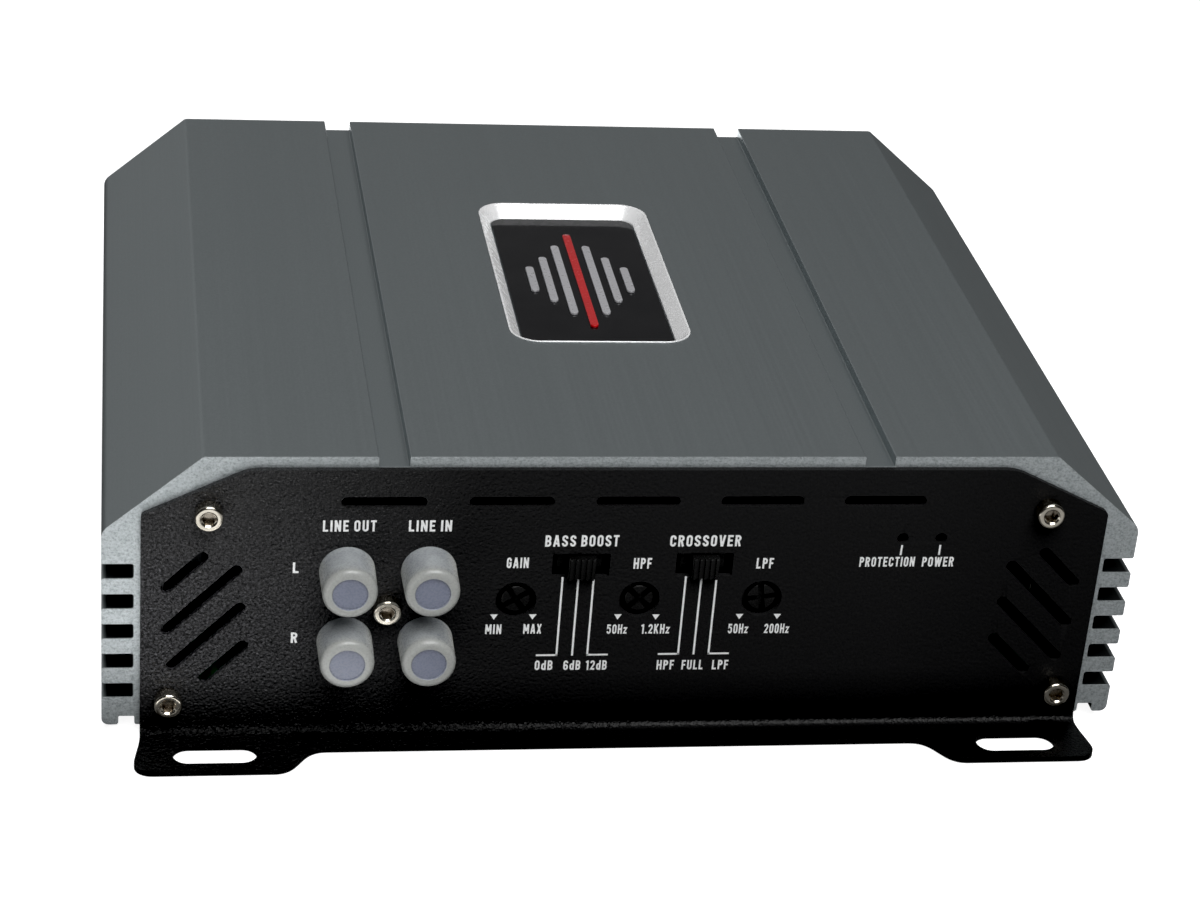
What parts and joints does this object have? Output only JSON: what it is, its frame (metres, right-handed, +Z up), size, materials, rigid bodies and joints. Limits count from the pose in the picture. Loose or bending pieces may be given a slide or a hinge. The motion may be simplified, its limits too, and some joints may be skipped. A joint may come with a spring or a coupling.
{
  "type": "car amplifier",
  "caption": "Low rectangular car audio amplifier: finned extruded aluminium shell, black end plates with slotted feet, signal jacks and trim controls at one end, terminals at the other.",
  "frame": {"origin": "centre of the footprint, on the mounting plane under the four feet", "axes": "+Z up out of the mounting plane; -Y towards the control panel with the signal jacks, +Y towards the supply and speaker terminals; X across the width, along the mounting slots"},
  "size_m": [0.2, 0.1954, 0.0604],
  "materials": {
    "anodised_aluminium": "satin dark grey anodised extrusion, machined bright on the cut ends",
    "black_powder_coat": "black leather-textured powder coat",
    "black_paint": "plain satin black paint",
    "nickel_steel": "bright nickel-plated steel",
    "polished_bezel": "polished bevelled metal",
    "gloss_black": "gloss black plate",
    "silver_emblem": "satin silver raised bars",
    "red_accent": "gloss red enamel",
    "green_board": "glass-fibre board with green mask",
    "black_plastic": "moulded black thermoplastic",
    "nickel_plating": "nickel-plated brass",
    "white_nylon": "white moulded nylon",
    "gold_brass": "brass, gold-coloured",
    "red_lens": "tinted clear epoxy lens",
    "blue_lens": "tinted clear epoxy lens",
    "ferrite": "sintered ferrite",
    "powdered_iron": "painted powdered iron",
    "enamelled_copper": "enamelled copper wire",
    "capacitor_sleeve": "shrink sleeve over aluminium can",
    "epoxy_black": "moulded epoxy",
    "zinc_steel": "zinc-plated steel",
    "grey_silicone": "silicone insulating pad",
    "milky_silicone": "milky translucent silicone",
    "black_knob": "moulded black acetal",
    "green_fuse": "translucent tinted plastic"
  },
  "bodies": {
    "amplifier": {"heatsink_shell": "anodised_aluminium", "front_end_plate": "black_powder_coat", "rear_end_plate": "black_powder_coat", "bottom_cover": "black_paint", "end_plate_screws": "nickel_steel", "screw_lock_washers": "nickel_steel", "jack_block_screw": "nickel_steel", "badge_bezel": "polished_bezel", "badge_plate": "gloss_black", "badge_emblem_bars": "silver_emblem", "badge_accent_bar": "red_accent", "main_circuit_board": "green_board", "preamp_board": "green_board", "board_header": "black_plastic", "rca_jack_housing": "black_plastic", "rca_jack_shells": "nickel_plating", "rca_jack_insulators": "white_nylon", "rca_center_contacts": "gold_brass", "bass_boost_switch_frame": "black_plastic", "crossover_switch_frame": "black_plastic", "potentiometer_housings": "black_plastic", "protection_led": "red_lens", "power_led": "blue_lens", "transformer_core": "ferrite", "transformer_winding": "enamelled_copper", "choke_core": "powdered_iron", "choke_winding": "enamelled_copper", "supply_capacitors": "capacitor_sleeve", "rail_capacitors": "capacitor_sleeve", "supply_transistors": "epoxy_black", "output_transistors": "epoxy_black", "transistor_clamp_bars": "zinc_steel", "clamp_bar_screws": "zinc_steel", "insulator_strips": "grey_silicone", "board_standoffs": "gold_brass", "board_screws": "zinc_steel", "control_chips": "epoxy_black", "power_terminal_block": "black_plastic", "speaker_terminal_block": "black_plastic", "terminal_contacts": "nickel_plating", "fuse_holder": "black_plastic", "fuse_clips": "gold_brass"},
    "line_out_left_cap": {"line_out_left_cap": "milky_silicone"},
    "line_in_left_cap": {"line_in_left_cap": "milky_silicone"},
    "line_out_right_cap": {"line_out_right_cap": "milky_silicone"},
    "line_in_right_cap": {"line_in_right_cap": "milky_silicone"},
    "bass_boost_slider": {"bass_boost_slider": "black_knob"},
    "crossover_slider": {"crossover_slider": "black_knob"},
    "gain_rotor": {"gain_rotor": "black_knob"},
    "hpf_rotor": {"hpf_rotor": "black_knob"},
    "lpf_rotor": {"lpf_rotor": "black_knob"},
    "fuse": {"blade_fuse": "green_fuse", "blade_fuse_contacts": "zinc_steel"},
    "power_screw_1": {"power_screw_1": "nickel_steel"},
    "power_screw_2": {"power_screw_2": "nickel_steel"},
    "power_screw_3": {"power_screw_3": "nickel_steel"},
    "speaker_screw_1": {"speaker_screw_1": "nickel_steel"},
    "speaker_screw_2": {"speaker_screw_2": "nickel_steel"},
    "speaker_screw_3": {"speaker_screw_3": "nickel_steel"},
    "speaker_screw_4": {"speaker_screw_4": "nickel_steel"}
  },
  "joints": [
    {"name": "line_out_left_cap_pull", "type": "slide", "parent": "amplifier", "child": "line_out_left_cap", "axis": [0, -1, 0], "range_m": [0, 0.02]},
    {"name": "line_in_left_cap_pull", "type": "slide", "parent": "amplifier", "child": "line_in_left_cap", "axis": [0, -1, 0], "range_m": [0, 0.02]},
    {"name": "line_out_right_cap_pull", "type": "slide", "parent": "amplifier", "child": "line_out_right_cap", "axis": [0, -1, 0], "range_m": [0, 0.02]},
    {"name": "line_in_right_cap_pull", "type": "slide", "parent": "amplifier", "child": "line_in_right_cap", "axis": [0, -1, 0], "range_m": [0, 0.02]},
    {"name": "bass_boost_slide", "type": "slide", "parent": "amplifier", "child": "bass_boost_slider", "axis": [1, 0, 0], "range_m": [-0.0025, 0.0025]},
    {"name": "crossover_slide", "type": "slide", "parent": "amplifier", "child": "crossover_slider", "axis": [1, 0, 0], "range_m": [-0.0025, 0.0025]},
    {"name": "gain_turn", "type": "hinge", "parent": "amplifier", "child": "gain_rotor", "pos_m": [-0.022, -0.083, 0.0299], "axis": [0, 1, 0], "range_deg": [-140, 140]},
    {"name": "hpf_turn", "type": "hinge", "parent": "amplifier", "child": "hpf_rotor", "pos_m": [0.0019, -0.083, 0.0299], "axis": [0, 1, 0], "range_deg": [-140, 140]},
    {"name": "lpf_turn", "type": "hinge", "parent": "amplifier", "child": "lpf_rotor", "pos_m": [0.0259, -0.083, 0.0299], "axis": [0, 1, 0], "range_deg": [-140, 140]},
    {"name": "fuse_pull", "type": "slide", "parent": "amplifier", "child": "fuse", "axis": [0, 1, 0], "range_m": [0, 0.025]},
    {"name": "power_screw_1_turn", "type": "hinge", "parent": "amplifier", "child": "power_screw_1", "pos_m": [-0.071, 0.084, 0.024], "axis": [0, 1, 0], "range_deg": [0, 360]},
    {"name": "power_screw_2_turn", "type": "hinge", "parent": "amplifier", "child": "power_screw_2", "pos_m": [-0.058, 0.084, 0.024], "axis": [0, 1, 0], "range_deg": [0, 360]},
    {"name": "power_screw_3_turn", "type": "hinge", "parent": "amplifier", "child": "power_screw_3", "pos_m": [-0.045, 0.084, 0.024], "axis": [0, 1, 0], "range_deg": [0, 360]},
    {"name": "speaker_screw_1_turn", "type": "hinge", "parent": "amplifier", "child": "speaker_screw_1", "pos_m": [0.027, 0.084, 0.024], "axis": [0, 1, 0], "range_deg": [0, 360]},
    {"name": "speaker_screw_2_turn", "type": "hinge", "parent": "amplifier", "child": "speaker_screw_2", "pos_m": [0.039, 0.084, 0.024], "axis": [0, 1, 0], "range_deg": [0, 360]},
    {"name": "speaker_screw_3_turn", "type": "hinge", "parent": "amplifier", "child": "speaker_screw_3", "pos_m": [0.051, 0.084, 0.024], "axis": [0, 1, 0], "range_deg": [0, 360]},
    {"name": "speaker_screw_4_turn", "type": "hinge", "parent": "amplifier", "child": "speaker_screw_4", "pos_m": [0.063, 0.084, 0.024], "axis": [0, 1, 0], "range_deg": [0, 360]}
  ]
}
